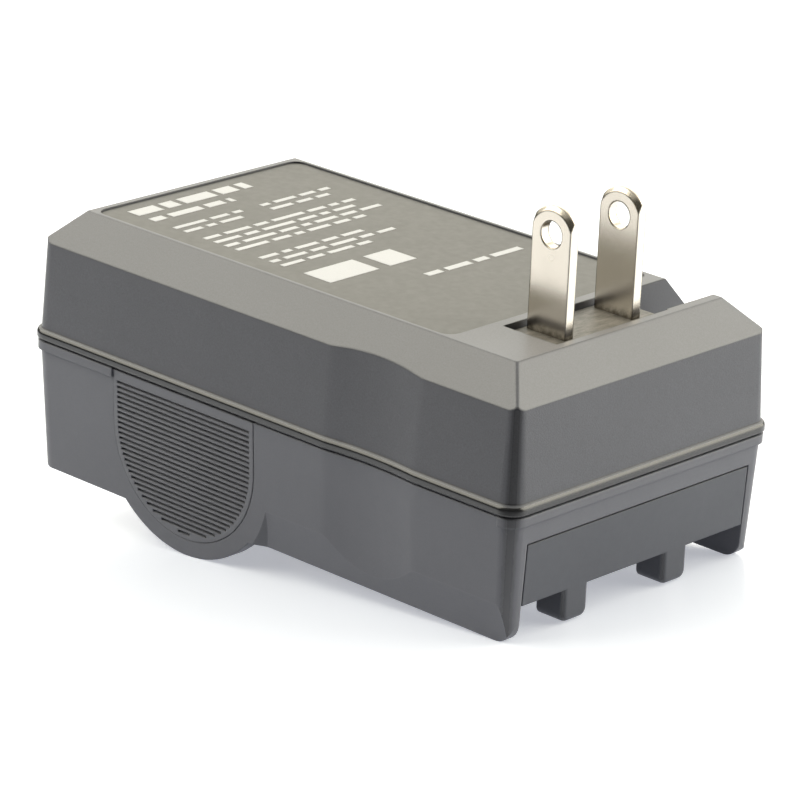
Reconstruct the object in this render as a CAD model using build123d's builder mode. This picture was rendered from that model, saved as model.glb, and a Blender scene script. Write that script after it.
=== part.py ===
from build123d import *
import math
import os

# Camera battery charger with a fold-out mains plug, in millimetres.
# X runs along the case towards the plug, Y to the far side, Z up through the plug side.
# z = 0 is the tips of the two grip ears, and x = y = 0 is the middle of the case.

# Case
case_length = 87.8
case_width = 49.05
seam_height = 22.85
upper_height = 18.05
plug_corner_radius = 2.3
other_corner_radius = 2.8
draft_angle = 3.0
wall = 1.9
roof = 1.9
fit_gap = 0.1

# Sloped shoulders round the top
shoulder_drop = 4.4
shoulder_inset = 4.3
shoulder_corner_radius = 0.5
shoulder_edge = 0.3

# Waist: a shallow scoop in each long side, placed from the plug end
waist_from_end = 24.6
waist_chord = 15.4
waist_depth = 0.55
waist_blend = 10.0

# Seam: bead above it, a part band below it, a shadow gap and a tongue between the halves
bead_height = 1.7
bead_proud = 0.45
bead_round = 0.8
bead_chamfer = 0.4
band_height = 1.3
band_proud = 0.3
band_gap = 0.06
shadow_gap = 0.2
shadow_depth = 0.2
tongue_height = 1.0

# Underside: rims, crease, battery bay and the head that closes it
head_rim = 4.6
bay_rim = 5.5
rim_corner_left = 2.0
rim_corner_right = 2.6
crease_height = 10.9
flank_inset = 0.9
head_length = 17.7
bay_wall = 1.43
bulkhead = 1.9
plate_bottom = 10.5
plate_thickness = 2.0
notch_top = 18.9

# Grip ears and their ribbed inserts, placed from the end away from the plug
grip_from_end = 29.4
ear_radius = 16.35
ear_root_radius = 3.5
insert_rim = 3.05
insert_drop = 0.8
insert_thickness = 1.1
insert_proud = 0.06
ear_slope = 60.0
groove_pitch = 0.72
groove_count = 28
groove_width = 0.36
groove_depth = 0.45
groove_margin = 0.8
first_groove = 1.75

# Label recess in the top face
label_depth = 0.5
label_thickness = 0.3
label_left_rim = 1.0
label_side_rim = 0.6
label_to_slot = 1.6
label_corner_radius = 1.8

# Plug: blades on a carrier that folds about a cross axle into its well
blade_width = 6.35
blade_thickness = 1.5
blade_spacing = 12.7
blade_length = 16.7
blade_tip_radius = 3.9
blade_tip_bevel = 0.55
blade_hole_diameter = 3.5
blade_hole_height = 13.1
blade_shift = 0.2
plug_y = -0.575
slot_strip = 1.25
slot_gap = 0.25
carrier_side = 1.075
carrier_sink = 0.7
carrier_end = 3.7
carrier_edge = 0.3
axle_depth = 3.0
trunnion_diameter = 3.0
trunnion_length = 0.9
trunnion_gap = 0.08
well_wall = 1.1
channel_inset_label = 0.6
channel_inset_end = 0.25
notch_sill = 4.0
foot_height = 1.2
foot_below_trunnion = 0.4

# Circuit board and the leaf contacts that stand on it
board_thickness = 1.6
board_gap = 0.6
rail_width = 1.6
rail_height = 1.7
leaf_thickness = 0.4
leaf_width = 2.2
leaf_foot = 2.0

# Transformer, placed from the board's edge at the plug well
transformer_from_well = 32.7
transformer_y = 1.0
core_length = 20.0
core_width = 6.0
core_height = 16.0
core_lift = 2.0
core_leg = 5.0
core_side_leg = 3.5
core_yoke = 2.5
winding_width = 17.0
winding_radius = 2.0
bobbin_foot_length = 10.0
bobbin_foot_thickness = 2.0

# Can capacitors, the input one placed from the well, the output one from the other end
input_can_diameter = 10.0
input_can_height = 18.0
input_can_from_well = 16.7
input_can_from_side = 10.6
output_can_diameter = 8.0
output_can_height = 12.0
output_can_from_end = 17.2
output_can_y = -10.0
can_edge = 0.4
can_groove_depth = 0.3
can_groove_width = 0.5
can_groove_height = 2.0

# Moulded packages
package_width = 6.5
package_height = 3.5
package_row_y = 9.0
bridge_length = 8.5
bridge_from_well = 6.7
controller_length = 9.5
controller_from_well = 17.2
optocoupler_length = 4.6
optocoupler_to_core = 2.0

# Fuse
fuse_from_well = 6.7
fuse_y = -3.0
fuse_diameter = 4.0
fuse_waist = 3.4
fuse_length = 9.0
fuse_cap = 2.2

# Screws that pull the two halves together
screw_from_end = 7.6
screw_from_well = 7.7
screw_from_side = 6.4
screw_seat_lift = 0.6
screw_diameter = 2.4
screw_length = 9.0
screw_room = 0.4
screw_head_diameter = 4.6
screw_head_height = 1.6
screw_head_room = 0.6
screw_recess_width = 0.7
screw_recess_length = 2.8
screw_recess_depth = 0.9
post_diameter = 6.5
post_roof = 2.1
post_room = 0.4
boss_diameter = 5.4

# Battery plate: tabs below its end and slots for the contact blades
tab_length = 4.4
tab_width = 4.8
tab_height = 4.6
tab_round = 1.2
tab_edge = 0.8
tab_near_y = -10.925
tab_far_y = 8.175
panel_thickness = 2.0
panel_gap = 0.2
contact_pitch = 6.0
contact_thickness = 0.8
contact_length = 6.0
contact_reach = 3.6
contact_lead_in = 1.8
contact_from_head = 3.0

# Direct-current jack in the end away from the plug
jack_length = 9.5
jack_width = 9.0
jack_height = 6.6
jack_bore = 5.5
jack_nose_diameter = 6.4
jack_pin_diameter = 2.0
jack_pin_recess = 2.0
jack_bore_depth = 8.5

# Status lamp and its light pipe in the head's underside
lamp_from_end = 9.1
lamp_diameter = 3.0
lamp_length = 5.0
lamp_dome = 1.0
lamp_flange = 0.5
lamp_flange_height = 1.0

# Values worked out from the ones above
draft = math.tan(math.radians(draft_angle))
half_length = case_length / 2
half_width = case_width / 2
top_height = seam_height + upper_height
shoulder_slope = shoulder_inset / shoulder_drop
top_inset = draft * (upper_height - shoulder_drop) + shoulder_inset
waist_x = half_length - waist_from_end
waist_radius = (waist_chord**2 / 4 + waist_depth**2) / (2 * waist_depth)
lip = (wall - fit_gap) / 2
cavity_top = top_height - roof
joint_top = seam_height + tongue_height + fit_gap
beyond_end = half_length + wall
above_top = top_height + roof


def end_x(height):
    """Outside of the plug-end wall of the lower half at a height."""
    return half_length - draft * (seam_height - height)


def side_y(height):
    """Outside of the far long wall of the lower half at a height."""
    return half_width - draft * (seam_height - height)


bay_start = head_length - half_length
bay_half = side_y(bay_rim) - flank_inset - bay_wall
plate_top = plate_bottom + plate_thickness
rail_half = bay_half - rail_width
grip_x = grip_from_end - half_length
insert_radius = ear_radius - insert_rim
insert_centre = seam_height - ear_radius + insert_drop

slot_width = blade_width + 2 * (carrier_side + slot_gap)
slot_right = half_length - top_inset - slot_strip
slot_left = slot_right - slot_width
slot_middle = (slot_left + slot_right) / 2
blade_x = slot_middle - blade_shift
blade_near_y = plug_y - blade_spacing / 2
blade_far_y = plug_y + blade_spacing / 2
carrier_left = slot_left + slot_gap
carrier_right = slot_right - slot_gap
carrier_top = top_height - carrier_sink
axle_y = blade_near_y
axle_z = carrier_top - axle_depth
carrier_near_y = axle_y - carrier_end
carrier_far_y = blade_far_y + carrier_end
carrier_reach = math.hypot(carrier_far_y - axle_y, max(axle_depth, carrier_end))
slot_near_y = carrier_near_y - slot_gap
slot_step_y = axle_y + carrier_reach + slot_gap
well_left = slot_left - well_wall
well_right = slot_right + well_wall
well_floor = axle_z - carrier_reach - slot_gap
well_far_y = side_y(well_floor - well_wall) - wall - fit_gap
channel_left = slot_left + channel_inset_label
channel_right = slot_right - channel_inset_end
foot_top = axle_z - trunnion_diameter / 2 - foot_below_trunnion

board_bottom = plate_top + rail_height
board_top = board_bottom + board_thickness
board_left = wall + board_gap - end_x(board_bottom)
board_right = well_left
board_half = side_y(board_bottom) - wall - board_gap

screw_left_x = screw_from_end - half_length
screw_right_x = board_right - screw_from_well
screw_y = half_width - screw_from_side
left_screws = [(screw_left_x, -screw_y), (screw_left_x, screw_y)]
right_screws = [(screw_right_x, -screw_y), (screw_right_x, screw_y)]
all_screws = left_screws + right_screws
screw_seat = board_top + screw_seat_lift
screw_tip = screw_seat + screw_length
post_top = screw_seat + post_roof

label_left = top_inset + label_left_rim - half_length
label_right = slot_left - label_to_slot
label_length = label_right - label_left
label_width = case_width - 2 * (top_inset + label_side_rim)
label_x = (label_left + label_right) / 2

jack_z = board_top + jack_height / 2
jack_front = wall + fit_gap - end_x(board_top)
jack_nose_end = fit_gap - end_x(jack_z)
lamp_x = lamp_from_end - half_length
lamp_low = board_bottom - lamp_length
lamp_flange_diameter = lamp_diameter + 2 * lamp_flange


def span_box(x_span, y_span, z_span, mode=Mode.ADD):
    """A box between two values along each axis."""
    spans = (x_span, y_span, z_span)
    with Locations(tuple((low + high) / 2 for low, high in spans)):
        Box(*(high - low for low, high in spans), mode=mode)


def post(diameter, z_span, places, mode=Mode.ADD):
    """Equal upright cylinders at several places."""
    low, high = z_span
    with BuildSketch(Plane.XY.offset(low)) as discs:
        with Locations(*places):
            Circle(diameter / 2)
    extrude(discs.sketch, amount=high - low, mode=mode)


def case_outline(inset):
    """Plan of the case drawn in by an inset: a rounded rectangle with a waist in each long side."""
    with BuildSketch(mode=Mode.PRIVATE) as plan:
        Rectangle(case_length - 2 * inset, case_width - 2 * inset)
        fillet(plan.vertices().group_by(Axis.X)[0], other_corner_radius - inset / 2)
        fillet(plan.vertices().group_by(Axis.X)[-1], plug_corner_radius - inset / 2)
        waist_y = half_width + waist_radius - waist_depth
        with Locations((waist_x, -waist_y), (waist_x, waist_y)):
            Circle(waist_radius + inset, mode=Mode.SUBTRACT)
        ends = plan.vertices().filter_by_position(Axis.X, waist_x - waist_chord, waist_x + waist_chord)
        fillet(ends, waist_blend)
    return plan.sketch


def shoulder_block(height, top_rim):
    """Four slopes with rounded edges between them, from the seam up to a top face."""
    spread = 2 * (height - seam_height) * shoulder_slope
    with BuildPart() as block:
        with BuildSketch(Plane.XY.offset(seam_height)):
            Rectangle(case_length - 2 * top_rim + spread, case_width - 2 * top_rim + spread)
        extrude(amount=height - seam_height, taper=math.degrees(math.atan(shoulder_slope)))
        fillet(block.edges().group_by(Axis.Z)[1], shoulder_corner_radius)
    return block.part


def upper_block(inset, height, top_rim):
    """Upper half as a block: drafted walls under sloped shoulders that end at a top face."""
    with BuildPart() as block:
        with BuildSketch(Plane.XY.offset(seam_height)):
            add(case_outline(inset))
        extrude(amount=height - seam_height, taper=draft_angle)
        add(shoulder_block(height, top_rim), mode=Mode.INTERSECT)
    return block


# Outside and inside of the upper half, with the shoulders as thick as the walls
shoulder_wall = roof * shoulder_slope - wall * math.hypot(1, shoulder_slope)
upper_outside = upper_block(0, top_height, top_inset)
upper_inside = upper_block(wall, cavity_top, top_inset - shoulder_wall)
with upper_outside:
    shoulder_top = upper_outside.faces().sort_by(Axis.Z)[-1].edges()
    shoulder_foot = upper_outside.edges().filter_by_position(
        Axis.Z, top_height - shoulder_drop - waist_depth, top_height - shoulder_drop + waist_depth
    )
    fillet(shoulder_top + shoulder_foot, shoulder_edge)

# Bead: the rounded lip at the upper half's lower edge
with BuildPart() as bead:
    with BuildSketch(Plane.XY.offset(seam_height)):
        add(case_outline(-bead_proud))
    extrude(amount=bead_height)
    fillet(bead.faces().sort_by(Axis.Z)[-1].edges(), bead_round)
    chamfer(bead.faces().sort_by(Axis.Z)[0].edges(), bead_chamfer)

# Well that the plug folds into and bosses for the screws, kept inside the case
with BuildPart() as well_and_bosses:
    well_near_y = slot_near_y - well_wall
    span_box((well_left, well_right), (well_near_y, half_width - wall), (joint_top, cavity_top))
    post(boss_diameter, (joint_top, cavity_top), all_screws)
    add(upper_outside.part, mode=Mode.INTERSECT)
    span_box((well_left, well_right), (well_near_y, well_far_y), (well_floor - well_wall, joint_top))
    post(boss_diameter, (post_top, joint_top), all_screws)

# Upper half: shell, bead, well and bosses, then the plug's slot, axle holes, windows and label recess
with BuildPart() as upper_shell:
    add(upper_outside.part)
    add(bead.part)
    add(upper_inside.part, mode=Mode.SUBTRACT)
    with BuildSketch(Plane.XY.offset(seam_height)):
        add(case_outline(lip))
    extrude(amount=tongue_height + fit_gap, mode=Mode.SUBTRACT)
    add(well_and_bosses.part)
    post(screw_diameter + fit_gap, (post_top, screw_tip + fit_gap), all_screws, Mode.SUBTRACT)
    span_box((slot_left, slot_right), (slot_near_y, slot_step_y), (well_floor, above_top), Mode.SUBTRACT)
    channel = (channel_left, channel_right)
    span_box(channel, (slot_near_y, well_far_y - well_wall), (well_floor, above_top), Mode.SUBTRACT)
    span_box(channel, (slot_near_y, case_width), (seam_height + notch_sill, above_top), Mode.SUBTRACT)
    with Locations((slot_middle, axle_y, axle_z)):
        Cylinder(
            trunnion_diameter / 2 + trunnion_gap,
            slot_width + 2 * (trunnion_length + fit_gap),
            rotation=(0, 90, 0),
            mode=Mode.SUBTRACT,
        )
    for blade_y in (blade_near_y, blade_far_y):
        half_window = leaf_width / 2 + fit_gap
        span_box(
            (well_left - fit_gap, slot_left + fit_gap),
            (blade_y - half_window, blade_y + half_window),
            (foot_top - foot_height - fit_gap, foot_top + fit_gap),
            Mode.SUBTRACT,
        )
    with BuildSketch(Plane.XY.offset(top_height)):
        with Locations((label_x, 0)):
            RectangleRounded(label_length, label_width, label_corner_radius)
    extrude(amount=-label_depth, mode=Mode.SUBTRACT)
upper_shell.part.label = "upper_shell"

# Label sheet in its recess
with BuildPart() as label_panel:
    with BuildSketch(Plane.XY.offset(top_height - label_depth)):
        with Locations((label_x, 0)):
            RectangleRounded(
                label_length - 2 * fit_gap,
                label_width - 2 * fit_gap,
                label_corner_radius - fit_gap,
            )
    extrude(amount=label_thickness)
label_panel.part.label = "label_panel"

# Flank relief: the wedge taken off each side below the crease, with a slope round the ear
with BuildPart() as flank_relief:
    relief_slope = draft + flank_inset / (crease_height - bay_rim)
    relief_depth = relief_slope * crease_height
    with BuildSketch(Plane.YZ.offset(grip_x)):
        with BuildLine():
            Polyline(
                (side_y(crease_height), crease_height),
                (side_y(crease_height) - relief_depth, 0),
                (case_width, 0),
                (case_width, crease_height),
                close=True,
            )
        make_face()
    extrude(amount=case_length)
    with BuildSketch(Plane.XZ.offset(-side_y(crease_height))):
        with Locations((grip_x, ear_radius)):
            Circle(ear_radius)
    extrude(amount=relief_depth, taper=-ear_slope, mode=Mode.SUBTRACT)
    mirror(about=Plane.XZ)

# Plane of the near long wall, with its origin on the seam above the grip
grip_plane = Plane(
    origin=(grip_x, -half_width, seam_height),
    x_dir=(1, 0, 0),
    z_dir=(0, -math.cos(math.radians(draft_angle)), -math.sin(math.radians(draft_angle))),
)
insert_seat = grip_plane.offset(insert_proud - insert_thickness)


def grip_outline(margin):
    """Outline of a grip insert on its wall: straight sides down from the seam and a half-round end."""
    radius = insert_radius - margin
    with BuildSketch(mode=Mode.PRIVATE) as grip:
        with Locations((0, -insert_centre)):
            Circle(radius)
            Rectangle(2 * radius, insert_centre, align=(Align.CENTER, Align.MIN))
        with Locations((0, -shadow_gap)):
            Rectangle(2 * radius, 2 * seam_height, align=(Align.CENTER, Align.MAX), mode=Mode.INTERSECT)
    return grip.sketch


# Pockets for the grip inserts, drawn on the near wall and mirrored to the far one
with BuildPart() as grip_pockets:
    with BuildSketch(insert_seat):
        add(grip_outline(0))
    extrude(amount=insert_thickness + fit_gap)
    mirror(about=Plane.XZ)

# Band under the seam, left out from the grips to the corners at the plug end
with BuildPart() as band:
    plain_left = grip_x - insert_radius
    plain_right = half_length - plug_corner_radius
    with BuildSketch(Plane.XY.offset(seam_height - band_gap)):
        add(case_outline(-band_proud))
        with Locations(((plain_left + plain_right) / 2, 0)):
            Rectangle(plain_right - plain_left, 2 * case_width, mode=Mode.SUBTRACT)
    extrude(amount=band_gap - band_height)

# Lower half: drafted walls cut to the side profile, then hollowed for board, head, plate and bay
with BuildPart() as lower_shell:
    with BuildSketch(Plane.XY.offset(seam_height)):
        add(case_outline(0))
    with BuildSketch():
        add(case_outline(draft * seam_height))
    loft(ruled=True)
    with BuildSketch(Plane.XZ) as side_profile:
        with BuildLine():
            Polyline(
                (-case_length, seam_height),
                (-case_length, crease_height),
                (-end_x(crease_height), crease_height),
                (-end_x(head_rim), head_rim),
                (grip_x, head_rim),
                (grip_x, bay_rim),
                (end_x(bay_rim), bay_rim),
                (end_x(crease_height), crease_height),
                (case_length, crease_height),
                (case_length, seam_height),
                close=True,
            )
        make_face()
        fillet(side_profile.vertices().sort_by_distance((-half_length, head_rim))[0], rim_corner_left)
        fillet(side_profile.vertices().sort_by_distance((half_length, bay_rim))[0], rim_corner_right)
        with Locations((grip_x, ear_radius)):
            Circle(ear_radius)
        roots = side_profile.vertices().filter_by_position(Axis.Y, *sorted((head_rim, bay_rim)))
        roots = roots.filter_by_position(Axis.X, grip_x - ear_radius, grip_x + ear_radius)
        fillet(roots, ear_root_radius)
    extrude(amount=case_width, both=True, mode=Mode.INTERSECT)
    add(flank_relief.part, mode=Mode.SUBTRACT)

    # shadow gap of the seam, closed where the band meets the bead
    with BuildSketch(Plane.XY.offset(seam_height)):
        add(case_outline(-bead_proud))
        add(case_outline(lip - shadow_depth), mode=Mode.SUBTRACT)
    extrude(amount=-shadow_gap, mode=Mode.SUBTRACT)
    add(band.part)

    # hollow above the board's rails
    with BuildSketch(Plane.XY.offset(seam_height)):
        add(case_outline(wall))
    extrude(amount=board_bottom - seam_height, taper=draft_angle, mode=Mode.SUBTRACT)

    # battery bay with the seat of its plate, the gap between the rails and the notch in the end
    bay = (bay_start, beyond_end)
    notch_left = end_x(notch_top) - panel_thickness - wall
    span_box(bay, (-bay_half, bay_half), (-wall, plate_top), Mode.SUBTRACT)
    span_box(bay, (-rail_half, rail_half), (plate_top, board_bottom), Mode.SUBTRACT)
    span_box((notch_left, beyond_end), (-bay_half, bay_half), (plate_top, notch_top), Mode.SUBTRACT)

    # head beyond the bulkhead, and the gap between the ears
    head = (wall - end_x(head_rim), bay_start - bulkhead)
    span_box(head, (-bay_half, bay_half), (head_rim + wall, board_bottom), Mode.SUBTRACT)
    span_box((-half_length, bay_start), (-bay_half, bay_half), (-wall, head_rim), Mode.SUBTRACT)

    # tongue of the seam
    with BuildSketch(Plane.XY.offset(seam_height)):
        add(case_outline(lip + fit_gap))
        add(case_outline(wall), mode=Mode.SUBTRACT)
    extrude(amount=tongue_height)

    # screw posts, open from below
    post(post_diameter, (head_rim, post_top), left_screws)
    post(post_diameter, (plate_top, post_top), right_screws)
    post(screw_head_diameter + screw_head_room, (-wall, screw_seat), all_screws, Mode.SUBTRACT)
    post(screw_diameter + screw_room, (screw_seat, post_top), all_screws, Mode.SUBTRACT)

    # jack hole, lamp hole and the pockets of the grips
    with BuildSketch(Plane.YZ.offset(-beyond_end)):
        with Locations((0, jack_z)):
            Circle(jack_nose_diameter / 2 + fit_gap)
    extrude(amount=beyond_end + jack_front, mode=Mode.SUBTRACT)
    post(lamp_diameter + 2 * fit_gap, (0, plate_bottom), [(lamp_x, 0)], Mode.SUBTRACT)
    add(grip_pockets.part, mode=Mode.SUBTRACT)
lower_shell.part.label = "lower_shell"

# Grip inserts with fine level grooves, the far one mirrored from the near one
with BuildPart() as grip_insert_near:
    with BuildSketch(insert_seat):
        add(grip_outline(fit_gap / 2))
    extrude(amount=insert_thickness)
    groove_reach = insert_radius - groove_margin
    with BuildSketch(grip_plane.offset(insert_proud)):
        for index in range(groove_count):
            level = -first_groove - index * groove_pitch
            below_centre = min(0, level + insert_centre)
            if abs(below_centre) < groove_reach:
                with Locations((0, level)):
                    Rectangle(2 * math.sqrt(groove_reach**2 - below_centre**2), groove_width)
    extrude(amount=-groove_depth, mode=Mode.SUBTRACT)
grip_insert_near.part.label = "grip_insert_near"

with BuildPart() as grip_insert_far:
    mirror(grip_insert_near.part, about=Plane.XZ)
grip_insert_far.part.label = "grip_insert_far"


def mains_blade(blade_y, name):
    """A flat stamping in its place, with a round tip, a hole and a foot that reaches the carrier's side."""
    left = blade_x - blade_width / 2
    right = blade_x + blade_width / 2
    tip_rise = blade_tip_radius - math.sqrt(blade_tip_radius**2 - blade_width**2 / 4)
    tip_start = carrier_top + blade_length - tip_rise
    with BuildPart() as blade:
        with BuildSketch(Plane.XZ.offset(-blade_y)):
            with BuildLine():
                Polyline(
                    (left, tip_start),
                    (left, foot_top),
                    (carrier_left, foot_top),
                    (carrier_left, foot_top - foot_height),
                    (right, foot_top - foot_height),
                    (right, tip_start),
                )
                RadiusArc((right, tip_start), (left, tip_start), -blade_tip_radius)
            make_face()
            with Locations((blade_x, carrier_top + blade_hole_height)):
                Circle(blade_hole_diameter / 2, mode=Mode.SUBTRACT)
        extrude(amount=blade_thickness / 2, both=True)
        chamfer(blade.edges().filter_by(GeomType.CIRCLE).group_by(Axis.Z)[-1], blade_tip_bevel)
    blade.part.label = name
    return blade


plug_blade_near = mains_blade(blade_near_y, "plug_blade_near")
plug_blade_far = mains_blade(blade_far_y, "plug_blade_far")

# Plug carrier: a bar with its near end rounded about the axle, and a trunnion on each side
with BuildPart() as plug_carrier:
    carrier_low = axle_z - carrier_end
    with BuildSketch(Plane.YZ.offset(carrier_left)):
        with BuildLine():
            Polyline(
                (carrier_near_y, axle_z),
                (carrier_near_y, carrier_top),
                (carrier_far_y, carrier_top),
                (carrier_far_y, carrier_low),
                (axle_y, carrier_low),
            )
            RadiusArc((axle_y, carrier_low), (carrier_near_y, axle_z), carrier_end)
        make_face()
    extrude(amount=carrier_right - carrier_left)
    chamfer(plug_carrier.faces().sort_by(Axis.Z)[-1].edges(), carrier_edge)
    with Locations((slot_middle, axle_y, axle_z)):
        Cylinder(trunnion_diameter / 2, slot_width + 2 * trunnion_length, rotation=(0, 90, 0))
    add(plug_blade_near.part, mode=Mode.SUBTRACT)
    add(plug_blade_far.part, mode=Mode.SUBTRACT)
plug_carrier.part.label = "plug_carrier"


def leaf_contact(blade_y, name):
    """A bent strip that stands on the board and reaches through the well's wall to a blade's foot."""
    outer = well_left - fit_gap
    with BuildPart() as leaf:
        with BuildSketch(Plane.XZ.offset(-blade_y)):
            with BuildLine():
                Polyline(
                    (outer - leaf_foot, board_top),
                    (outer, board_top),
                    (outer, foot_top - foot_height),
                    (slot_left, foot_top - foot_height),
                    (slot_left, foot_top),
                    (outer - leaf_thickness, foot_top),
                    (outer - leaf_thickness, board_top + leaf_thickness),
                    (outer - leaf_foot, board_top + leaf_thickness),
                    close=True,
                )
            make_face()
        extrude(amount=leaf_width / 2, both=True)
    leaf.part.label = name
    return leaf


plug_contact_near = leaf_contact(blade_near_y, "plug_contact_near")
plug_contact_far = leaf_contact(blade_far_y, "plug_contact_far")

# Circuit board on its rails, with room for the screw posts
with BuildPart() as circuit_board:
    span_box((board_left, board_right), (-board_half, board_half), (board_bottom, board_top))
    post(post_diameter + post_room, (board_bottom, board_top), all_screws, Mode.SUBTRACT)
circuit_board.part.label = "circuit_board"

# Transformer: a core with two windows, and the winding and bobbin feet round its middle leg
transformer_x = board_right - transformer_from_well
core_middle = board_top + core_lift + core_height / 2
window_width = (core_length - core_leg) / 2 - core_side_leg
window_height = core_height - 2 * core_yoke
with BuildPart() as transformer_core:
    with BuildSketch(Plane.XZ.offset(-transformer_y)):
        with Locations((transformer_x, core_middle)):
            Rectangle(core_length, core_height)
            with GridLocations(core_leg + window_width, 0, 2, 1):
                Rectangle(window_width, window_height, mode=Mode.SUBTRACT)
    extrude(amount=core_width / 2, both=True)
transformer_core.part.label = "transformer_core"

with BuildPart() as transformer_winding:
    winding_length = core_leg + 2 * (window_width - fit_gap)
    winding_height = window_height - 2 * fit_gap
    with BuildSketch(Plane.XY.offset(core_middle - winding_height / 2)):
        with Locations((transformer_x, transformer_y)):
            RectangleRounded(winding_length, winding_width, winding_radius)
            Rectangle(core_leg, core_width, mode=Mode.SUBTRACT)
    extrude(amount=winding_height)
    with BuildSketch(Plane.XY.offset(board_top)):
        with Locations((transformer_x, transformer_y)):
            with GridLocations(0, (winding_width + core_width) / 2, 1, 2):
                Rectangle(bobbin_foot_length, bobbin_foot_thickness)
    extrude(amount=core_middle - board_top)
transformer_winding.part.label = "transformer_winding"


def can(diameter, height, place, name):
    """An upright can capacitor with a groove near its seal."""
    with BuildPart() as body:
        post(diameter, (board_top, board_top + height), [place])
        chamfer(body.edges().filter_by(GeomType.CIRCLE).group_by(Axis.Z)[-1], can_edge)
        with BuildSketch(Plane.XY.offset(board_top + can_groove_height)):
            with Locations(place):
                Circle(diameter)
                Circle(diameter / 2 - can_groove_depth, mode=Mode.SUBTRACT)
        extrude(amount=can_groove_width, mode=Mode.SUBTRACT)
    body.part.label = name
    return body


input_place = (board_right - input_can_from_well, input_can_from_side - board_half)
output_place = (board_left + output_can_from_end, output_can_y)
input_capacitor = can(input_can_diameter, input_can_height, input_place, "input_capacitor")
output_capacitor = can(output_can_diameter, output_can_height, output_place, "output_capacitor")


def package(length, place, name):
    """A moulded package standing on the board, with its sides drawn in towards the top."""
    with BuildPart() as body:
        with BuildSketch(Plane.XY.offset(board_top)):
            with Locations(place):
                Rectangle(length, package_width)
        extrude(amount=package_height, taper=draft_angle)
    body.part.label = name
    return body


bridge_place = (board_right - bridge_from_well, package_row_y)
controller_place = (board_right - controller_from_well, package_row_y)
optocoupler_x = transformer_x - core_length / 2 - optocoupler_to_core - optocoupler_length / 2
optocoupler_place = (optocoupler_x, package_row_y)
bridge_rectifier = package(bridge_length, bridge_place, "bridge_rectifier")
controller_chip = package(controller_length, controller_place, "controller_chip")
optocoupler = package(optocoupler_length, optocoupler_place, "optocoupler")

# Fuse: a capped tube lying on the board
with BuildPart() as fuse:
    with Locations((board_right - fuse_from_well, fuse_y, board_top + fuse_diameter / 2)):
        Cylinder(fuse_waist / 2, fuse_length, rotation=(90, 0, 0))
        with GridLocations(0, fuse_length - fuse_cap, 1, 2):
            Cylinder(fuse_diameter / 2, fuse_cap, rotation=(90, 0, 0))
fuse.part.label = "fuse"

# Jack: a block on the board with a nose in the end wall's hole, a bore and a centre pin
with BuildPart() as dc_jack:
    span_box(
        (jack_front, jack_front + jack_length),
        (-jack_width / 2, jack_width / 2),
        (board_top, board_top + jack_height),
    )
    with BuildSketch(Plane.YZ.offset(jack_nose_end)):
        with Locations((0, jack_z)):
            Circle(jack_nose_diameter / 2)
    extrude(amount=jack_front - jack_nose_end)
    with BuildSketch(Plane.YZ.offset(jack_nose_end)):
        with Locations((0, jack_z)):
            Circle(jack_bore / 2)
    extrude(amount=jack_bore_depth, mode=Mode.SUBTRACT)
    with BuildSketch(Plane.YZ.offset(jack_nose_end + jack_pin_recess)):
        with Locations((0, jack_z)):
            Circle(jack_pin_diameter / 2)
    extrude(amount=jack_bore_depth - jack_pin_recess)
dc_jack.part.label = "dc_jack"

# Status lamp under the board, and the light pipe below it
with BuildPart() as status_led:
    post(lamp_diameter, (lamp_low, board_bottom), [(lamp_x, 0)])
    chamfer(status_led.edges().filter_by(GeomType.CIRCLE).group_by(Axis.Z)[0], lamp_dome)
    post(lamp_flange_diameter, (board_bottom - lamp_flange_height, board_bottom), [(lamp_x, 0)])
status_led.part.label = "status_led"

with BuildPart() as light_pipe:
    pipe_seat = head_rim + wall
    post(lamp_diameter, (head_rim, lamp_low - fit_gap), [(lamp_x, 0)])
    post(lamp_flange_diameter, (pipe_seat, pipe_seat + lamp_flange_height), [(lamp_x, 0)])
light_pipe.part.label = "light_pipe"

# Tabs below the battery plate's end, with rounded feet and fronts
with BuildPart() as tabs:
    with BuildSketch(Plane.YZ.offset(end_x(plate_bottom))) as tab_fronts:
        with Locations((tab_near_y, plate_bottom), (tab_far_y, plate_bottom)):
            Rectangle(tab_width, tab_height, align=(Align.CENTER, Align.MAX))
        fillet(tab_fronts.vertices().group_by(Axis.Y)[0], tab_round)
    extrude(amount=-tab_length)
    front_edges = tabs.faces().filter_by(Axis.X).group_by(Axis.X)[-1].edges()
    fillet(front_edges.filter_by_position(Axis.Z, 0, plate_bottom - tab_edge), tab_edge)

# Battery plate: bay ceiling and end panel in one, with slots for the contacts and screw holes
contact_x = bay_start + contact_from_head + contact_length / 2
contact_names = ("negative", "signal", "positive")
contact_places = [(contact_x, (index - 1) * contact_pitch) for index in range(len(contact_names))]
panel_top = notch_top - panel_gap
with BuildPart() as battery_plate:
    with BuildSketch(Plane.XZ):
        with BuildLine():
            Polyline(
                (bay_start + fit_gap, plate_bottom),
                (end_x(plate_bottom), plate_bottom),
                (end_x(panel_top), panel_top),
                (end_x(panel_top) - panel_thickness, panel_top),
                (end_x(panel_top) - panel_thickness, plate_top),
                (bay_start + fit_gap, plate_top),
                close=True,
            )
        make_face()
    extrude(amount=bay_half - panel_gap, both=True)
    add(tabs.part)
    with BuildSketch(Plane.XY.offset(plate_bottom)):
        with Locations(*contact_places):
            Rectangle(contact_length + 2 * fit_gap, contact_thickness + 2 * fit_gap)
    extrude(amount=plate_thickness, mode=Mode.SUBTRACT)
    post(screw_head_diameter + screw_head_room, (plate_bottom, plate_top), right_screws, Mode.SUBTRACT)
battery_plate.part.label = "battery_plate"


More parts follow.
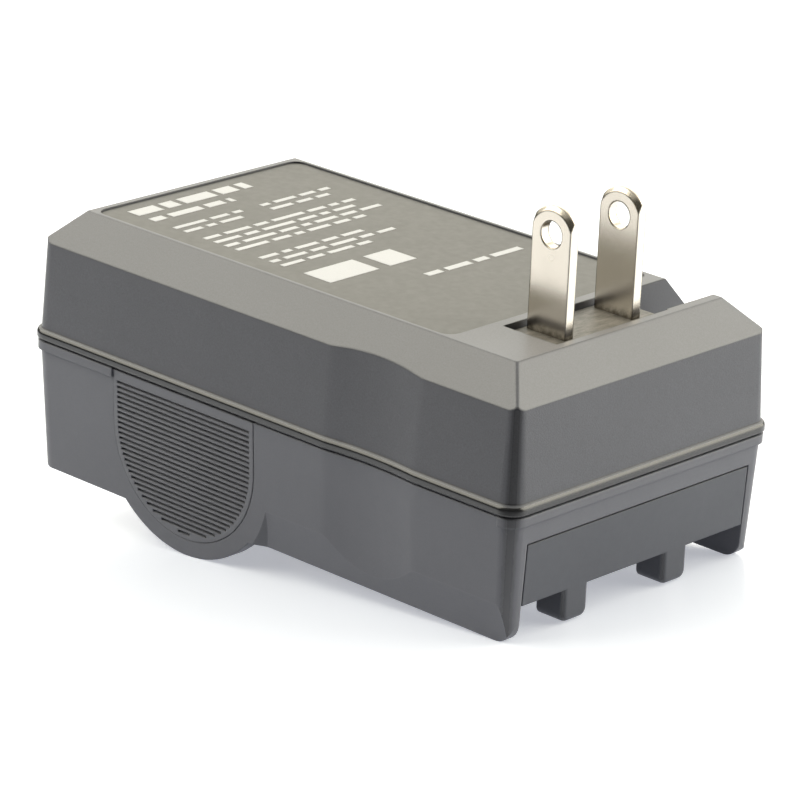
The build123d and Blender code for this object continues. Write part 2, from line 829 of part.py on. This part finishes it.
def battery_contact(place, name):
    """An upright flat blade from the board down through the plate, with its leading corner rounded."""
    x, y = place
    low = plate_bottom - contact_reach
    with BuildPart() as blade:
        with BuildSketch(Plane.XZ.offset(-y)) as side:
            with Locations((x, (low + board_bottom) / 2)):
                Rectangle(contact_length, board_bottom - low)
            fillet(side.vertices().sort_by_distance((x + contact_length, low))[0], contact_lead_in)
        extrude(amount=contact_thickness / 2, both=True)
    blade.part.label = f"battery_contact_{name}"
    return blade


battery_contacts = [battery_contact(place, name) for place, name in zip(contact_places, contact_names)]

# Case screws, four alike, with a cross recess in each head
with BuildPart() as case_screws:
    head_bottom = screw_seat - screw_head_height
    post(screw_head_diameter, (head_bottom, screw_seat), all_screws)
    post(screw_diameter, (screw_seat, screw_tip), all_screws)
    with BuildSketch(Plane.XY.offset(head_bottom)):
        with Locations(*all_screws):
            Rectangle(screw_recess_length, screw_recess_width)
            Rectangle(screw_recess_width, screw_recess_length)
    extrude(amount=screw_recess_depth, mode=Mode.SUBTRACT)
case_screws.part.label = "case_screws"

case_pieces = [upper_shell, lower_shell, label_panel, grip_insert_near, grip_insert_far, case_screws]
plug_pieces = [plug_carrier, plug_blade_near, plug_blade_far, plug_contact_near, plug_contact_far]
board_pieces = [circuit_board, transformer_core, transformer_winding, input_capacitor, output_capacitor]
board_pieces += [bridge_rectifier, controller_chip, optocoupler, fuse, dc_jack, status_led, light_pipe]
bay_pieces = [battery_plate] + battery_contacts

os.makedirs("parts", exist_ok=True)
for piece in case_pieces + plug_pieces + board_pieces + bay_pieces:
    export_step(piece.part, f"parts/{piece.part.label}.step")
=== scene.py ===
import math

import bmesh
import bpy
from mathutils import Matrix, Vector


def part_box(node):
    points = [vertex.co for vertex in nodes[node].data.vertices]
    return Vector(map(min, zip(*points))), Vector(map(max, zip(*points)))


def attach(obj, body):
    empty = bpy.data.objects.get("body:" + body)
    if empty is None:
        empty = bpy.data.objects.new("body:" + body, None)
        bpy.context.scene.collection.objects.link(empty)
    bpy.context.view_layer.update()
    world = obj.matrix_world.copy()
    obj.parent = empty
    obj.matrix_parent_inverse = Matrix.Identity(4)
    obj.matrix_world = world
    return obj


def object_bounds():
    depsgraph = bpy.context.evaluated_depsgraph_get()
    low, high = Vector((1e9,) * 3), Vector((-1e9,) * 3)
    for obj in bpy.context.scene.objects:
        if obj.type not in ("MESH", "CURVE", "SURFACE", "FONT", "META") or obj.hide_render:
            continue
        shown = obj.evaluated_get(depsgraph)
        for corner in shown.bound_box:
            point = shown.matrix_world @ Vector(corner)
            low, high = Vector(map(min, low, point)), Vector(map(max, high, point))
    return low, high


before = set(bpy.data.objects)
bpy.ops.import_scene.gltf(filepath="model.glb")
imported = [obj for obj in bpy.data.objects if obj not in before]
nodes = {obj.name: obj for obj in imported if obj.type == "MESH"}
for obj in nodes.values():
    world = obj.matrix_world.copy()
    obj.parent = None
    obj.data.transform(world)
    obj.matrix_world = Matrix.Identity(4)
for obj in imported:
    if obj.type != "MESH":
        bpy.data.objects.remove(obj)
cad_low, cad_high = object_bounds()
MM = 0.001

# Camera: solved from the photograph's edges, in the part's own frame
CAMERA_PLACE = Vector((363.76, -388.175, 214.0)) * MM
CAMERA_AZIMUTH = 43.025
CAMERA_ELEVATION = 19.991
CAMERA_ROLL = 2.569
CAMERA_REACH = 20.0
SENSOR_WIDTH = 36.0
FOCAL_LENGTH = 192.54

# Floor: it touches the round ears and the rounded corners under the plug end
EAR_RADIUS = 16.35 * MM
HEEL_RADIUS = 2.6 * MM
HEEL_CENTRE = Vector((40.5, 0, 8.1)) * MM
FLOOR_SIZE = 0.9
FLOOR_SQUARES = 8
FLOOR_ROUGHNESS = 0.22
FLOOR_SHEEN = 0.2

# Floor colours: as seen, as it lights the part, and the glow that keeps its shadows pale
FLOOR_SEEN = (0.88, 0.92, 1.0, 1)
FLOOR_BOUNCE = (0.30, 0.31, 0.35, 1)
FLOOR_GLOW = (0.40, 0.41, 0.44, 1)
FLOOR_MIRROR_GLOW = (0.55, 0.56, 0.60, 1)
NO_GLOW = (0, 0, 0, 1)

# Floor as the part mirrors it: whole under and behind the part, dim in front of it
MIRRORED_BEHIND = 1.0
MIRRORED_IN_FRONT = 0.06
FRONT_START = 52.0 * MM
FRONT_END = 90.0 * MM

# Noise: the middle range of its values is spread over the range that is asked for
NOISE_LOW = 0.3
NOISE_HIGH = 0.7

# Bevel shading: rays for each point, and the turn of the surface that counts as a whole edge
BEVEL_SAMPLES = 6
EDGE_TURN = 0.035

# Plastic: the round corners are polished, and their colour is halved as painted shade, darker than the
# grained walls
PLASTIC_IOR = 1.58
GRAIN_PER_METRE = 5200.0
DRIFT_PER_METRE = 45.0
DRIFT = 0.05
SATIN_PER_METRE = 900.0
GLOSS_SPREAD = 0.03
CORNER_START = 0.28
CORNER_FULL = 0.46
CORNER_PAINTED_SHADE = 0.50
CORNER_ROUGHNESS = 0.26

# Upper half: the shoulders and the top are told from the walls by how far they look up
SHOULDER_START = 0.2
SHOULDER_FULL = 0.5
TOP_START = 0.75
TOP_FULL = 0.95
TOP_GRAIN = 0.15
PLAIN_SHEEN = 0.5
SHOULDER_SHEEN = 0.86

# Bead: the glossy lip on the upper half's lower edge; its colour is painted shade, far darker than the
# case plastic
SEAM_HEIGHT = 22.85 * MM
BEAD_HEIGHT = 1.45 * MM
BEAD_PAINTED_SHADE = (0.024, 0.025, 0.029, 1)

# Scuffs on the plug's plastic, drawn out along y
SCUFFS_PER_METRE = 1500.0
SCUFF_STRETCH = (1.0, 0.3, 1.0)
SCUFF_DARKEST = 0.25
SCUFF_LIGHTEST = 1.5
SCUFF_DEPTH = 0.08 * MM
SCUFF_EDGE = 0.2 * MM

# Plated metal: streaks drawn out along z, clouds, and soft edges with painted shade along them
STREAKS_PER_METRE = 6000.0
STREAK_STRETCH = (1.0, 1.0, 0.05)
STREAK_DEPTH = 0.004 * MM
CLOUDS_PER_METRE = 220.0
CLOUD_DARKEST = 0.96
CLOUD_LIGHTEST = 1.03
STAMPED_EDGE = 0.35 * MM
STAMPED_SAMPLES = 8
PAINTED_EDGE_WIDTH = 0.12 * MM
PAINTED_EDGE_SHADE = 0.35

# Painted shade round the blades' feet
FOOT_SHADE_PER_METRE = 1400.0
FOOT_SHADE_HEIGHT = 1.1 * MM
FOOT_SHADE_RAGGEDNESS = 0.4 * MM
FOOT_SHADE_COLOUR = (0.17, 0.15, 0.12, 1)

# World: a dim room with a white backdrop on the far side, and plain white where the camera sees it
ROOM_LEVEL = 0.06
BACKDROP_LEVEL = 1.0
BACKDROP_DIRECTION = (-0.2, 0.98, 0.0)
BACKDROP_SIDE = -0.1
BACKDROP_MIDDLE = 0.5
BACKDROP_FOOT = 0.04
BACKDROP_FULL = 0.20
WHITE = (1, 1, 1, 1)

# Lamps
LIGHT_DISTANCE = 0.85
BOX_COLOUR = (1.0, 0.965, 0.84)
SOFTBOXES = (
    # name, direction from the part, width and height in metres, radiance
    ("front_left_box", (-0.64, -0.44, 0.60), 0.9, 0.75, 2.65),
    ("back_right_box", (0.62, 0.70, 0.36), 0.95, 0.9, 2.4),
    ("back_left_box", (-0.64, 0.69, 0.42), 1.2, 0.7, 1.2),
    ("overhead_box", (-0.1, -0.1, 1.0), 1.2, 1.2, 0.35),
)

# Label print: plain bars in place of words, in rows across the label, with lengths in millimetres
PRINT_THICKNESS = 0.02
PRINT_MARGIN = 3.5
WORD_LENGTHS = (4.6, 2.4, 5.8, 3.2, 1.6, 4.0, 2.8)
WORD_GAP = 0.9
PRINT_ROWS = (
    # distance from the label's edge, bar height, start and end of the row across the label
    (3.4, 2.4, 0.0, 22.0),
    (7.0, 1.5, 0.0, 15.0),
    (11.4, 0.9, 0.0, 13.0),
    (13.4, 0.9, 0.0, 11.0),
    (11.4, 0.9, 16.0, 29.0),
    (13.4, 0.9, 16.0, 27.0),
    (17.2, 0.9, 0.0, 28.0),
    (19.2, 0.9, 0.0, 26.0),
    (21.2, 0.9, 0.0, 29.0),
    (23.2, 0.9, 0.0, 24.0),
    (27.6, 0.9, 0.0, 19.0),
    (29.6, 0.9, 0.0, 23.0),
    (31.6, 0.9, 0.0, 17.0),
    (46.0, 1.2, 12.0, 30.0),
)
PRINT_FIELDS = (
    # distance from the label's edge, height, start and end across the label
    (38.0, 5.0, 0.0, 9.0),
    (38.0, 5.0, 11.0, 16.0),
)


def add_node(tree, kind, inputs=None, **settings):
    """A shader node with its settings, its input values and its incoming links."""
    made = tree.nodes.new(kind)
    for key, value in settings.items():
        setattr(made, key, value)
    for key, value in (inputs or {}).items():
        if isinstance(value, bpy.types.NodeSocket):
            tree.links.new(value, made.inputs[key])
        else:
            made.inputs[key].default_value = value
    return made


def new_material(name, **sockets):
    """A material with a principled shader, some of its sockets set."""
    material = bpy.data.materials.new(name)
    material.use_nodes = True
    shader = material.node_tree.nodes["Principled BSDF"]
    for key, value in sockets.items():
        shader.inputs[key.replace("_", " ")].default_value = value
    return material, material.node_tree, shader


def object_coordinates(tree, stretch=(1, 1, 1)):
    """The part's own coordinates in metres, scaled along each axis."""
    place = add_node(tree, "ShaderNodeTexCoord")
    mapping = add_node(tree, "ShaderNodeMapping", {"Vector": place.outputs["Object"], "Scale": stretch})
    return mapping.outputs["Vector"]


def noise(tree, coordinates, per_metre, detail=2.0, roughness=0.5):
    """Smooth noise with so many cells to the metre."""
    made = add_node(
        tree,
        "ShaderNodeTexNoise",
        {"Vector": coordinates, "Scale": per_metre, "Detail": detail, "Roughness": roughness},
    )
    return made.outputs["Fac"]


def remap(tree, value, low, high):
    """The middle range of a noise value spread from low to high."""
    made = add_node(
        tree,
        "ShaderNodeMapRange",
        {"Value": value, "From Min": NOISE_LOW, "From Max": NOISE_HIGH, "To Min": low, "To Max": high},
        clamp=False,
    )
    return made.outputs["Result"]


def ramp(tree, value, start, end, first=0.0, last=1.0):
    """A level that goes from first to last while a value goes from start to end."""
    made = add_node(
        tree,
        "ShaderNodeMapRange",
        {"Value": value, "From Min": start, "From Max": end, "To Min": first, "To Max": last},
    )
    return made.outputs["Result"]


def tinted(tree, colour, factor):
    """A colour made darker or lighter by a factor that varies over the surface."""
    made = add_node(tree, "ShaderNodeVectorMath", {0: colour[:3], "Scale": factor}, operation="SCALE")
    return made.outputs["Vector"]


def mixed(tree, mask, outside, inside):
    """One value where a mask is nothing and another where it is one."""
    made = add_node(tree, "ShaderNodeMix", {"Factor": mask, "A": outside, "B": inside})
    return made.outputs["Result"]


def mixed_colour(tree, mask, outside, inside):
    """One colour where a mask is nothing and another where it is one."""
    made = add_node(tree, "ShaderNodeMix", {0: mask, 6: outside, 7: inside}, data_type="RGBA")
    return made.outputs[2]


def multiplied(tree, first, second):
    """The product of two values that vary over the surface."""
    return add_node(tree, "ShaderNodeMath", {0: first, 1: second}, operation="MULTIPLY").outputs["Value"]


def dot_product(tree, first, second):
    """How far one direction or place lies along another."""
    made = add_node(tree, "ShaderNodeVectorMath", {0: first, 1: second}, operation="DOT_PRODUCT")
    return made.outputs["Value"]


def axis_value(tree, vector, axis):
    """One of a vector's three values."""
    return add_node(tree, "ShaderNodeSeparateXYZ", {"Vector": vector}).outputs[axis]


def bevelled(tree, radius, samples=BEVEL_SAMPLES):
    """Normals as if the edges were rounded to a radius."""
    return add_node(tree, "ShaderNodeBevel", {"Radius": radius}, samples=samples).outputs["Normal"]


def bumped(tree, height, depth, normal):
    """A bump node over normals that are already rounded."""
    return add_node(tree, "ShaderNodeBump", {"Height": height, "Distance": depth, "Normal": normal})


def edge_factor(tree, rounded, shade, turn=EDGE_TURN):
    """One on flat faces and a painted light level on edges, painted shade below one and a painted
    highlight above it, where a bevel turns the surface by as much as is given.
    """
    flat = add_node(tree, "ShaderNodeNewGeometry").outputs["Normal"]
    return ramp(tree, dot_product(tree, rounded, flat), 1 - turn, 1.0, first=shade)


def corner_mask(tree):
    """One on upright round corners, where a face looks along x and y alike, and nothing on flat walls."""
    facing = add_node(tree, "ShaderNodeTexCoord").outputs["Normal"]
    slant = multiplied(tree, axis_value(tree, facing, "X"), axis_value(tree, facing, "Y"))
    size = add_node(tree, "ShaderNodeMath", {0: slant}, operation="ABSOLUTE").outputs["Value"]
    return ramp(tree, size, CORNER_START, CORNER_FULL)


def moulded_plastic(
    name,
    colour,
    roughness,
    grain_depth,
    edge=0.25,
    # The level of the colour along edges: below one it is painted shade, above one a painted highlight.
    edge_shade=0.8,
    edge_turn=EDGE_TURN,
    speckle=0.03,
):
    """Moulded plastic: slow colour drift, a fine grain and rounded edges, both sized in millimetres, with
    painted light along the edges and painted shade on upright corners.
    """
    material, tree, shader = new_material(name, IOR=PLASTIC_IOR)
    place = object_coordinates(tree)
    rounded = bevelled(tree, edge * MM)
    grain = noise(tree, place, GRAIN_PER_METRE, roughness=0.6)
    drift = remap(tree, noise(tree, place, DRIFT_PER_METRE, detail=3.0), 1 - DRIFT, 1 + DRIFT)
    tone = multiplied(tree, drift, remap(tree, grain, 1 - speckle, 1 + speckle))
    # Painted light along edges, at the level given: painted shade below one, a painted highlight above it.
    tone = multiplied(tree, tone, edge_factor(tree, rounded, edge_shade, edge_turn))
    corners = corner_mask(tree)
    # Painted shade: upright round corners get half the colour.
    tone = multiplied(tree, tone, mixed(tree, corners, 1.0, CORNER_PAINTED_SHADE))
    tree.links.new(tinted(tree, colour, tone), shader.inputs["Base Color"])
    satin = noise(tree, place, SATIN_PER_METRE)
    satin = remap(tree, satin, roughness - GLOSS_SPREAD, roughness + GLOSS_SPREAD)
    tree.links.new(mixed(tree, corners, satin, CORNER_ROUGHNESS), shader.inputs["Roughness"])
    bump = bumped(tree, grain, grain_depth * MM, rounded)
    tree.links.new(bump.outputs["Normal"], shader.inputs["Normal"])
    return material, tree, shader, bump


def upper_plastic(name, colour, wall_roughness, top_roughness, bead_roughness, grain_depth):
    """The upper half's plastic: grained walls, smoother shoulders and top, and a polished bead coloured
    with painted shade.
    """
    # Painted shade along the upper half's edges, at less than half the colour.
    material, tree, shader, bump = moulded_plastic(
        name, colour, wall_roughness, grain_depth, edge=0.3, edge_shade=0.45, speckle=0.10
    )
    place = add_node(tree, "ShaderNodeTexCoord").outputs
    upward = axis_value(tree, place["Normal"], "Z")
    smooth_faces = ramp(tree, upward, SHOULDER_START, SHOULDER_FULL)
    below_top = ramp(tree, upward, TOP_START, TOP_FULL, first=1.0, last=0.0)
    shoulders = multiplied(tree, smooth_faces, below_top)
    bead = add_node(
        tree,
        "ShaderNodeMath",
        {0: axis_value(tree, place["Object"], "Z"), 1: SEAM_HEIGHT + BEAD_HEIGHT / 2, 2: BEAD_HEIGHT / 2},
        operation="COMPARE",
    ).outputs["Value"]
    walls = shader.inputs["Roughness"].links[0].from_socket
    smooth = mixed(tree, smooth_faces, walls, top_roughness)
    tree.links.new(mixed(tree, bead, smooth, bead_roughness), shader.inputs["Roughness"])
    grain_and_painted_shade = shader.inputs["Base Color"].links[0].from_socket
    # Painted shade: the bead's band takes a far darker colour than the rest of the case.
    tree.links.new(mixed_colour(tree, bead, grain_and_painted_shade, BEAD_PAINTED_SHADE), shader.inputs["Base Color"])
    sheen = mixed(tree, shoulders, PLAIN_SHEEN, SHOULDER_SHEEN)
    tree.links.new(sheen, shader.inputs["Specular IOR Level"])
    grain = mixed(tree, smooth_faces, 1.0, TOP_GRAIN)
    tree.links.new(mixed(tree, bead, grain, 0.0), bump.inputs["Strength"])
    return material


def plain_plastic(*arguments, **settings):
    """Moulded plastic with no separate shoulders, top or bead; it keeps the painted shade on upright
    corners and the painted light along edges.
    """
    return moulded_plastic(*arguments, **settings)[0]


def streaked_plastic(name, colour, roughness):
    """Plastic that rubbed against its slot: dark scuffs along it over a lighter, uneven face."""
    material, tree, shader = new_material(name, IOR=PLASTIC_IOR, Roughness=roughness)
    place = object_coordinates(tree, SCUFF_STRETCH)
    scuffs = noise(tree, place, SCUFFS_PER_METRE, detail=6.0, roughness=0.7)
    tone = remap(tree, scuffs, SCUFF_DARKEST, SCUFF_LIGHTEST)
    tree.links.new(tinted(tree, colour, tone), shader.inputs["Base Color"])
    bump = bumped(tree, scuffs, SCUFF_DEPTH, bevelled(tree, SCUFF_EDGE))
    tree.links.new(bump.outputs["Normal"], shader.inputs["Normal"])
    return material


def plated_metal(name, colour, roughness):
    """Plated stamping: fine streaks along it, cloudy gloss, softened edges and painted shade along the
    edges.
    """
    material, tree, shader = new_material(name, Metallic=1.0)
    along = object_coordinates(tree, STREAK_STRETCH)
    streaks = noise(tree, along, STREAKS_PER_METRE, detail=3.0, roughness=0.6)
    cloud = noise(tree, object_coordinates(tree), CLOUDS_PER_METRE, detail=3.0)
    # Painted shade along the plating's edges.
    shaded_edges = edge_factor(tree, bevelled(tree, PAINTED_EDGE_WIDTH), PAINTED_EDGE_SHADE)
    tone = multiplied(tree, remap(tree, cloud, CLOUD_DARKEST, CLOUD_LIGHTEST), shaded_edges)
    tree.links.new(tinted(tree, colour, tone), shader.inputs["Base Color"])
    gloss = remap(tree, cloud, roughness - GLOSS_SPREAD, roughness + GLOSS_SPREAD)
    tree.links.new(gloss, shader.inputs["Roughness"])
    bump = bumped(tree, streaks, STREAK_DEPTH, bevelled(tree, STAMPED_EDGE, STAMPED_SAMPLES))
    tree.links.new(bump.outputs["Normal"], shader.inputs["Normal"])
    return material


def blade_metal(name, colour, roughness):
    """Plated metal with a ragged painted shade at the blades' feet, where they leave the carrier."""
    material = plated_metal(name, colour, roughness)
    tree = material.node_tree
    shader = tree.nodes["Principled BSDF"]
    place = object_coordinates(tree)
    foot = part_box("plug_carrier")[1].z
    ragged = noise(tree, place, FOOT_SHADE_PER_METRE, detail=4.0, roughness=0.7)
    ragged = remap(tree, ragged, -FOOT_SHADE_RAGGEDNESS, FOOT_SHADE_RAGGEDNESS)
    level = axis_value(tree, place, "Z")
    height = add_node(tree, "ShaderNodeMath", {0: level, 1: ragged}, operation="ADD").outputs["Value"]
    # Painted shade at the blades' feet, fading out upwards.
    foot_shade = ramp(tree, height, foot, foot + FOOT_SHADE_HEIGHT, first=1.0, last=0.0)
    plating_with_painted_shade = shader.inputs["Base Color"].links[0].from_socket
    tree.links.new(mixed_colour(tree, foot_shade, plating_with_painted_shade, FOOT_SHADE_COLOUR), shader.inputs["Base Color"])
    return material


PLAIN_PLASTICS = (
    # name, colour, roughness, depth of the grain in millimetres
    ("grip_plastic", (0.212, 0.219, 0.256, 1), 0.50, 0.008),
    # The plate is set darker than the lower half as painted shade on the end panel.
    ("plate_plastic", (0.098, 0.106, 0.130, 1), 0.50, 0.010),
    ("label_film", (0.084, 0.084, 0.081, 1), 0.44, 0.003),
    ("label_ink", (0.72, 0.73, 0.76, 1), 0.85, 0.003),
    ("board_green", (0.03, 0.16, 0.06, 1), 0.35, 0.004),
    ("ferrite", (0.05, 0.05, 0.05, 1), 0.75, 0.020),
    ("winding_tape", (0.62, 0.42, 0.06, 1), 0.40, 0.006),
    ("can_sleeve", (0.03, 0.04, 0.10, 1), 0.30, 0.003),
    ("package_black", (0.02, 0.02, 0.021, 1), 0.55, 0.010),
    ("fuse_lacquer", (0.45, 0.36, 0.22, 1), 0.35, 0.004),
    ("lamp_clear", (0.62, 0.68, 0.66, 1), 0.22, 0.003),
)
PLATED_METALS = (
    # name, colour, roughness
    ("contact_brass", (0.80, 0.62, 0.34, 1), 0.28),
    ("zinc", (0.62, 0.62, 0.63, 1), 0.32),
)
finishes = {
    "case_upper": upper_plastic(
        "case_upper",
        (0.138, 0.144, 0.170, 1),
        wall_roughness=0.50,
        top_roughness=0.38,
        bead_roughness=0.14,
        grain_depth=0.036,
    ),
    # One plastic for both halves; the lower half's colour is set lighter than the upper's as painted light
    # on its walls.
    "case_lower": plain_plastic(
        "case_lower",
        (0.193, 0.200, 0.236, 1),
        roughness=0.50,
        grain_depth=0.008,
        edge=0.35,
        # Painted highlight along the lower half's edges and shallow creases.
        edge_shade=1.2,
        edge_turn=0.008,
    ),
    "plug_plastic": streaked_plastic("plug_plastic", (0.135, 0.127, 0.115, 1), roughness=0.42),
    "nickel": blade_metal("nickel", (0.76, 0.70, 0.61, 1), roughness=0.24),
}
# The plain plastics keep the default painted shade along their edges.
for finish, colour, roughness, grain_depth in PLAIN_PLASTICS:
    finishes[finish] = plain_plastic(finish, colour, roughness, grain_depth)
for finish, colour, roughness in PLATED_METALS:
    finishes[finish] = plated_metal(finish, colour, roughness)

node_finish = {
    "upper_shell": "case_upper",
    "lower_shell": "case_lower",
    "battery_plate": "plate_plastic",
    "grip_insert_near": "grip_plastic",
    "grip_insert_far": "grip_plastic",
    "label_panel": "label_film",
    "plug_carrier": "plug_plastic",
    "plug_blade_near": "nickel",
    "plug_blade_far": "nickel",
    "plug_contact_near": "contact_brass",
    "plug_contact_far": "contact_brass",
    "battery_contact_negative": "contact_brass",
    "battery_contact_signal": "contact_brass",
    "battery_contact_positive": "contact_brass",
    "circuit_board": "board_green",
    "transformer_core": "ferrite",
    "transformer_winding": "winding_tape",
    "input_capacitor": "can_sleeve",
    "output_capacitor": "can_sleeve",
    "bridge_rectifier": "package_black",
    "controller_chip": "package_black",
    "optocoupler": "package_black",
    "fuse": "fuse_lacquer",
    "dc_jack": "package_black",
    "status_led": "lamp_clear",
    "light_pipe": "lamp_clear",
    "case_screws": "zinc",
}
for node_name, finish in node_finish.items():
    mesh = nodes[node_name].data
    mesh.materials.clear()
    mesh.materials.append(finishes[finish])


def label_bars():
    """Each bar of the print in millimetres, as its middle and its size along the label and across it."""
    for offset, height, start, end in PRINT_FIELDS:
        yield offset, (start + end) / 2, height, end - start
    for row, (offset, height, start, end) in enumerate(PRINT_ROWS):
        place = start
        word = row
        while place < end:
            length = min(WORD_LENGTHS[word % len(WORD_LENGTHS)], end - place)
            yield offset, place + length / 2, height, length
            place += length + WORD_GAP
            word += 1


def make_label_print():
    """White bars printed on the label sheet."""
    low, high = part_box("label_panel")
    builder = bmesh.new()
    corner = Vector((low.x, low.y, high.z))
    for along, across, height, length in label_bars():
        middle = corner + Vector((along, PRINT_MARGIN + across, PRINT_THICKNESS / 2)) * MM
        size = Matrix.Diagonal((height * MM, length * MM, PRINT_THICKNESS * MM, 1))
        bmesh.ops.create_cube(builder, size=1, matrix=Matrix.Translation(middle) @ size)
    mesh = bpy.data.meshes.new("label_print")
    builder.to_mesh(mesh)
    builder.free()
    mesh.materials.append(finishes["label_ink"])
    label_print = bpy.data.objects.new("label_print", mesh)
    bpy.context.scene.collection.objects.link(label_print)
    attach(label_print, "housing")


def floor_place():
    """The floor's place: a plane that touches the ear's circle and the heel's circle from below."""
    ear_low, ear_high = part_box("grip_insert_near")
    ear_x = (ear_low.x + ear_high.x) / 2
    along = HEEL_CENTRE.x - ear_x
    down = EAR_RADIUS - HEEL_CENTRE.z
    tilt = math.asin((EAR_RADIUS - HEEL_RADIUS) / math.hypot(along, down)) - math.atan2(down, along)
    upright = Vector((-math.sin(tilt), 0, math.cos(tilt)))
    touch = Vector((ear_x, 0, EAR_RADIUS)) - upright * EAR_RADIUS
    return Matrix.Translation(touch) @ Matrix.Rotation(-tilt, 4, "Y")


def floor_views(tree):
    """One for rays from the camera, and a level for mirrored rays that falls off in front of the part."""
    path = add_node(tree, "ShaderNodeLightPath").outputs
    turn = math.radians(CAMERA_AZIMUTH)
    place = add_node(tree, "ShaderNodeNewGeometry").outputs["Position"]
    forward = dot_product(tree, place, (math.sin(turn), -math.cos(turn), 0.0))
    level = ramp(tree, forward, FRONT_START, FRONT_END, MIRRORED_BEHIND, MIRRORED_IN_FRONT)
    return path["Is Camera Ray"], multiplied(tree, path["Is Glossy Ray"], level)


def make_floor():
    """White floor under the part that keeps the part's shadow and a faint reflection."""
    mesh = bpy.data.meshes.new("floor")
    builder = bmesh.new()
    bmesh.ops.create_grid(
        builder, x_segments=FLOOR_SQUARES, y_segments=FLOOR_SQUARES, size=FLOOR_SIZE / 2
    )
    builder.to_mesh(mesh)
    builder.free()
    floor = bpy.data.objects.new("floor", mesh)
    bpy.context.scene.collection.objects.link(floor)
    floor.matrix_world = floor_place()
    material, tree, shader = new_material(
        "floor_white", Roughness=FLOOR_ROUGHNESS, Specular_IOR_Level=FLOOR_SHEEN, Emission_Strength=1.0
    )
    straight, mirrored = floor_views(tree)
    shade = mixed_colour(tree, mirrored, FLOOR_BOUNCE, FLOOR_SEEN)
    tree.links.new(mixed_colour(tree, straight, shade, FLOOR_SEEN), shader.inputs["Base Color"])
    glow = mixed_colour(tree, mirrored, NO_GLOW, FLOOR_MIRROR_GLOW)
    tree.links.new(mixed_colour(tree, straight, glow, FLOOR_GLOW), shader.inputs["Emission Color"])
    mesh.materials.append(material)


def make_world():
    """White to look at, with a white backdrop on the far side and a dim room on the near side."""
    world = bpy.data.worlds.new("studio")
    bpy.context.scene.world = world
    world.use_nodes = True
    tree = world.node_tree
    direction = add_node(tree, "ShaderNodeTexCoord").outputs["Generated"]
    toward = dot_product(tree, direction, BACKDROP_DIRECTION)
    across = ramp(tree, toward, BACKDROP_SIDE, BACKDROP_MIDDLE)
    above = ramp(tree, axis_value(tree, direction, "Z"), BACKDROP_FOOT, BACKDROP_FULL)
    level = mixed(tree, multiplied(tree, across, above), ROOM_LEVEL, BACKDROP_LEVEL)
    straight = add_node(tree, "ShaderNodeLightPath").outputs["Is Camera Ray"]
    background = tree.nodes["Background"]
    tint = mixed_colour(tree, straight, (*BOX_COLOUR, 1), WHITE)
    tree.links.new(tint, background.inputs["Color"])
    tree.links.new(mixed(tree, straight, level, 1.0), background.inputs["Strength"])


def make_softbox(name, direction, width, height, radiance):
    """An even area lamp that looks at the part from a direction."""
    lamp = bpy.data.lights.new(name, "AREA")
    lamp.shape = "RECTANGLE"
    lamp.size = width
    lamp.size_y = height
    lamp.energy = math.pi * width * height * radiance
    lamp.color = BOX_COLOUR
    holder = bpy.data.objects.new(name, lamp)
    bpy.context.scene.collection.objects.link(holder)
    aim = Vector(direction).normalized()
    middle = (cad_low + cad_high) / 2
    holder.location = middle + aim * LIGHT_DISTANCE
    holder.rotation_mode = "QUATERNION"
    holder.rotation_quaternion = (-aim).to_track_quat("-Z", "Y")
    holder.visible_camera = False


def make_camera():
    """The photograph's camera."""
    data = bpy.data.cameras.new("camera")
    data.sensor_width = SENSOR_WIDTH
    data.lens = FOCAL_LENGTH
    data.clip_end = CAMERA_REACH
    camera = bpy.data.objects.new("camera", data)
    bpy.context.scene.collection.objects.link(camera)
    turn = Matrix.Rotation(math.radians(CAMERA_AZIMUTH), 4, "Z")
    pitch = Matrix.Rotation(math.radians(90 - CAMERA_ELEVATION), 4, "X")
    roll = Matrix.Rotation(math.radians(CAMERA_ROLL), 4, "Z")
    camera.matrix_world = Matrix.Translation(CAMERA_PLACE) @ turn @ pitch @ roll
    bpy.context.scene.camera = camera


make_floor()
make_world()
for softbox in SOFTBOXES:
    make_softbox(*softbox)
make_label_print()
make_camera()
bpy.context.scene.view_settings.view_transform = "Standard"
